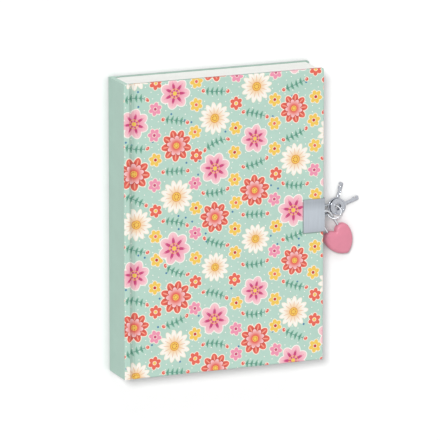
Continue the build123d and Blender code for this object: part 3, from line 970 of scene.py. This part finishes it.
def wire_stations():
    """Path of the wire from the end of the long leg to the end of the short leg."""
    narrow = (WIRE_RADIUS - WIRE_CHAMFER) / WIRE_RADIUS
    path = [((-LEG_X, LONG_LEG_END), (0, 1), narrow)]
    path.append(((-LEG_X, LONG_LEG_END + WIRE_CHAMFER), (0, 1), 1.0))
    for k in range(BOW_POINTS + 1):
        a = math.pi * (1 - k / BOW_POINTS)
        centre = (LEG_X * math.cos(a), BOW_HEIGHT + LEG_X * math.sin(a))
        path.append((centre, (math.sin(a), -math.cos(a)), 1.0))
    path.append(((LEG_X, SHORT_LEG_END + WIRE_CHAMFER), (0, -1), 1.0))
    path.append(((LEG_X, SHORT_LEG_END), (0, -1), narrow))
    upright = Vector((0, 0, 1))
    return [(Vector((*at, 0)), Vector((-go[1], go[0], 0)), upright, scale) for at, go, scale in path]


round_wire = circle(WIRE_RADIUS, WIRE_POINTS)
shackle = add_mesh("shackle_wire", *sweep(wire_stations(), round_wire), MATERIALS["shackle_wire"])
cut(shackle, "catch", block(CATCH_INNER, CATCH_INNER + PAST, CATCH_LOW, CATCH_HIGH, -PAST, PAST))
fit(shackle, padlock_place, "shackle", "shackle_wire", "shackle")


# Key ring: flat wire wound twice, stepping over at the split


def ring_stations():
    """Path of the two turns round the ring's axis."""
    lean = math.radians(RING_LEAN)
    side = Vector((1, 0, 0))
    rise = Vector((0, -math.sin(lean), math.cos(lean)))
    axis = side.cross(rise)
    turn = 360.0 - RING_STEP_OVER
    stations = []
    for k in range(RING_POINTS + 1):
        angle = (turn + 360.0) * k / RING_POINTS
        step = min(max((angle - turn) / RING_STEP_OVER, 0.0), 1.0)
        shift = (step * step * (3 - 2 * step) - 0.5) * RING_WIRE / 2
        a = math.radians(RING_SPLIT + angle)
        out = side * math.cos(a) + rise * math.sin(a)
        stations.append((Vector(RING_AT) + out * RING_RADIUS + axis * shift, axis, out, 1.0))
    return stations


def flat_wire():
    """Section of one turn, with its corners taken off."""
    wide = RING_WIRE / 4 - RING_SEAM / 2
    tall = RING_WIRE / 2
    corner = RING_CHAMFER
    quarter = [(wide, tall - corner), (wide - corner, tall)]
    left = [(-x, y) for x, y in reversed(quarter)]
    upper = quarter + left
    return upper + [(-x, -y) for x, y in upper]


ring = add_mesh("key_ring_turns", *sweep(ring_stations(), flat_wire()), MATERIALS["ring_wire"])
fit(ring, padlock_place, "key_ring", "ring_wire", "key_ring")


# Keys: stamped flat, with a pressed ring in the bow, a milled groove in the blade and softened edges


def key_outline():
    """Round bow, straight blade and a notched bit, with the hole's centre at the origin."""
    edge = KEY_BLADE / 2
    high = edge + KEY_STEP
    low = edge - KEY_STEP
    bit = KEY_LENGTH - KEY_BIT
    notch_a = KEY_LENGTH - (KEY_BIT - KEY_NOTCH) / 2
    notch_b = notch_a - KEY_NOTCH
    neck = math.asin(edge / KEY_BOW)
    tip = [(KEY_LENGTH - KEY_TIP, -edge), (KEY_LENGTH, KEY_TIP - edge), (KEY_LENGTH, high - KEY_TIP)]
    tip += [(KEY_LENGTH - KEY_TIP, high), (notch_a, high), (notch_a, low), (notch_b, low), (notch_b, high)]
    tip += [(bit, high), (bit, edge)]
    bow = arc((0, 0), KEY_BOW, neck, 2 * math.pi - neck, KEY_BOW_POINTS)
    return tip + bow + [(KEY_BOW * math.cos(neck), -edge)]


def pressed_ring(side):
    """Points and faces of the ring pressed into one side of the bow."""
    inner, outer, depth = KEY_PRESSED
    upright = Vector((0, 0, 1))
    level = upright * (side * (KEY_THICKNESS / 2 + PRESS_HALF - depth))
    wide = (outer - inner) / 2
    stations = []
    for x, y in circle(1.0, KEY_BOW_POINTS):
        out = Vector((x, y, 0))
        stations.append((out * (inner + wide) + level, upright, out, 1.0))
    tall = PRESS_HALF
    return sweep(stations, [(tall, -wide), (tall, wide), (-tall, wide), (-tall, -wide)], closed=True)


joints = {joint["name"]: joint for joint in frame["record"]["behaviour"]["joints"]}
groove_end, groove_tip, groove_low, groove_high, groove_depth = KEY_GROOVE
for name, heading in KEY_HEADINGS.items():
    key = add_mesh(f"{name}_stamped", *prism(key_outline(), -KEY_THICKNESS / 2, KEY_THICKNESS / 2),
                   MATERIALS["key_metal"])
    cut(key, "hole", prism(circle(KEY_HOLE, KEY_HOLE_POINTS), -PAST, PAST))
    for side in (-1, 1):
        cut(key, "pressed", pressed_ring(side))
        bottom, top = sorted((side * (KEY_THICKNESS / 2 - groove_depth), side * PAST))
        cut(key, "groove", block(groove_end, groove_tip, groove_low, groove_high, bottom, top))
    soft = key.modifiers.new("soft", "BEVEL")
    soft.width = KEY_EDGE
    soft.segments = 2
    soft.limit_method = "ANGLE"
    soft.angle_limit = math.radians(KEY_ANGLE)
    settle(key)
    joint = joints[f"{name}_turn"]
    normal = Vector(joint["axis"]).normalized()
    turn = math.radians(heading)
    blade = Vector((math.cos(turn), math.sin(turn), 0))
    blade = (blade - normal * blade.dot(normal)).normalized()
    axes = Matrix((blade, normal.cross(blade), normal)).transposed().to_4x4()
    fit(key, Matrix.Translation(joint["pos_m"]) @ axes, name, "key_metal", name)


# Camera


CAMERA_AT = (-1.3800, 0.8670, 3.3673)
CAMERA_FORWARD = (0.3708, -0.2327, -0.8991)
CAMERA_UP = (0.0882, 0.9725, -0.2153)
FOCAL_PIXELS = 5335.4
PICTURE = 440.0
SENSOR = 36.0
CLIP_END = 50.0

forward = Vector(CAMERA_FORWARD).normalized()
right = forward.cross(Vector(CAMERA_UP)).normalized()
up = right.cross(forward)
lens = bpy.data.cameras.new("camera")
lens.sensor_fit = "HORIZONTAL"
lens.sensor_width = SENSOR
lens.lens = FOCAL_PIXELS / PICTURE * SENSOR
lens.clip_end = CLIP_END
camera = bpy.data.objects.new("camera", lens)
camera.matrix_world = Matrix.Translation(CAMERA_AT) @ Matrix((right, up, -forward)).transposed().to_4x4()
scene.collection.objects.link(camera)
scene.camera = camera


# Studio: soft sky, a key lamp from the upper left, a fill from the head, a low rim lamp from the far
# corner, and a white floor with painted shade where things touch it


# Brightness of the soft sky and of the walls that gloss mirrors, from below to above
SKY = [(0.0, 0.33), (0.8, 0.40)]
WALLS = [(0.10, 1.0), (0.16, 0.3), (0.45, 0.3), (0.60, 1.0)]

# Lamps: the direction that each one shines from, its strength and its angle in degrees
LAMPS = {
    "key": ((-0.455, 0.335, 0.825), 1.97, 12.0),
    "fill": ((0.0, 0.95, 0.31), 0.73, 50.0),
    "rim": ((0.80, -0.55, 0.12), 0.6, 40.0),
}

# Floor: half its width and its gap below the part in metres, its tone in reflected light and its own glow
FLOOR_HALF = 4.0
FLOOR_DROP = 0.02 * MM
FLOOR_TONE = 0.58
FLOOR_GLOW = 0.06

# Painted contact shade on the floor near what touches it: reach in metres, and tones from shut in to open
CONTACT_REACH = 8 * MM
CONTACT = [(0.45, 0.70), (0.8, 0.92), (1.0, 1.0)]


def choose(tree, factor, first, second):
    return put(tree, "ShaderNodeMixShader", {0: factor, 1: first, 2: second}).outputs[0]


def background_rays(tree):
    """1 for rays that should see the white background: from the camera, off gloss and through glass."""
    rays = put(tree, "ShaderNodeLightPath").outputs
    seen = Field(tree, rays["Is Camera Ray"])
    for name in ("Is Glossy Ray", "Is Transmission Ray"):
        seen = seen.op("MAXIMUM", Field(tree, rays[name]))
    return seen


world = bpy.data.worlds.new("studio")
scene.world = world
world.use_nodes = True
tree = world.node_tree
tree.nodes.clear()
height = split(tree, put(tree, "ShaderNodeTexCoord").outputs["Generated"])[2]
sky = put(tree, "ShaderNodeBackground", {"Color": tones(tree, height, SKY)}).outputs[0]
white = put(tree, "ShaderNodeBackground", {"Color": tones(tree, height, WALLS)}).outputs[0]
put(tree, "ShaderNodeOutputWorld", {"Surface": choose(tree, background_rays(tree), sky, white)})


def lamp(name, toward, strength, angle):
    """A distant soft lamp shining from a direction."""
    light = bpy.data.lights.new(name, "SUN")
    light.energy = strength
    light.angle = math.radians(angle)
    obj = bpy.data.objects.new(name, light)
    obj.rotation_mode = "QUATERNION"
    obj.rotation_quaternion = Vector(toward).to_track_quat("Z", "Y")
    scene.collection.objects.link(obj)


for name, settings in LAMPS.items():
    lamp(name, *settings)

corners = [(x * FLOOR_HALF, y * FLOOR_HALF, -FLOOR_DROP) for x, y in ((-1, -1), (1, -1), (1, 1), (-1, 1))]
material = bpy.data.materials.new("floor_white")
material.use_nodes = True
tree = material.node_tree
tree.nodes.clear()
matte = put(tree, "ShaderNodeBsdfDiffuse", {"Color": grey(FLOOR_TONE)}).outputs[0]
# Painted shade: the floor's colour and glow darken near what touches it
near = put(tree, "ShaderNodeAmbientOcclusion", {"Distance": CONTACT_REACH}, samples=8).outputs["AO"]
contact = tones(tree, near, CONTACT)
caught = put(tree, "ShaderNodeBsdfDiffuse", {"Color": contact}).outputs[0]
glow = put(tree, "ShaderNodeEmission", {"Color": contact, "Strength": FLOOR_GLOW}).outputs[0]
seen = put(tree, "ShaderNodeAddShader", {0: caught, 1: glow}).outputs[0]
put(tree, "ShaderNodeOutputMaterial", {"Surface": choose(tree, background_rays(tree), matte, seen)})
floor = add_mesh("floor", corners, [(0, 1, 2, 3)], material)

scene.view_settings.view_transform = "Standard"
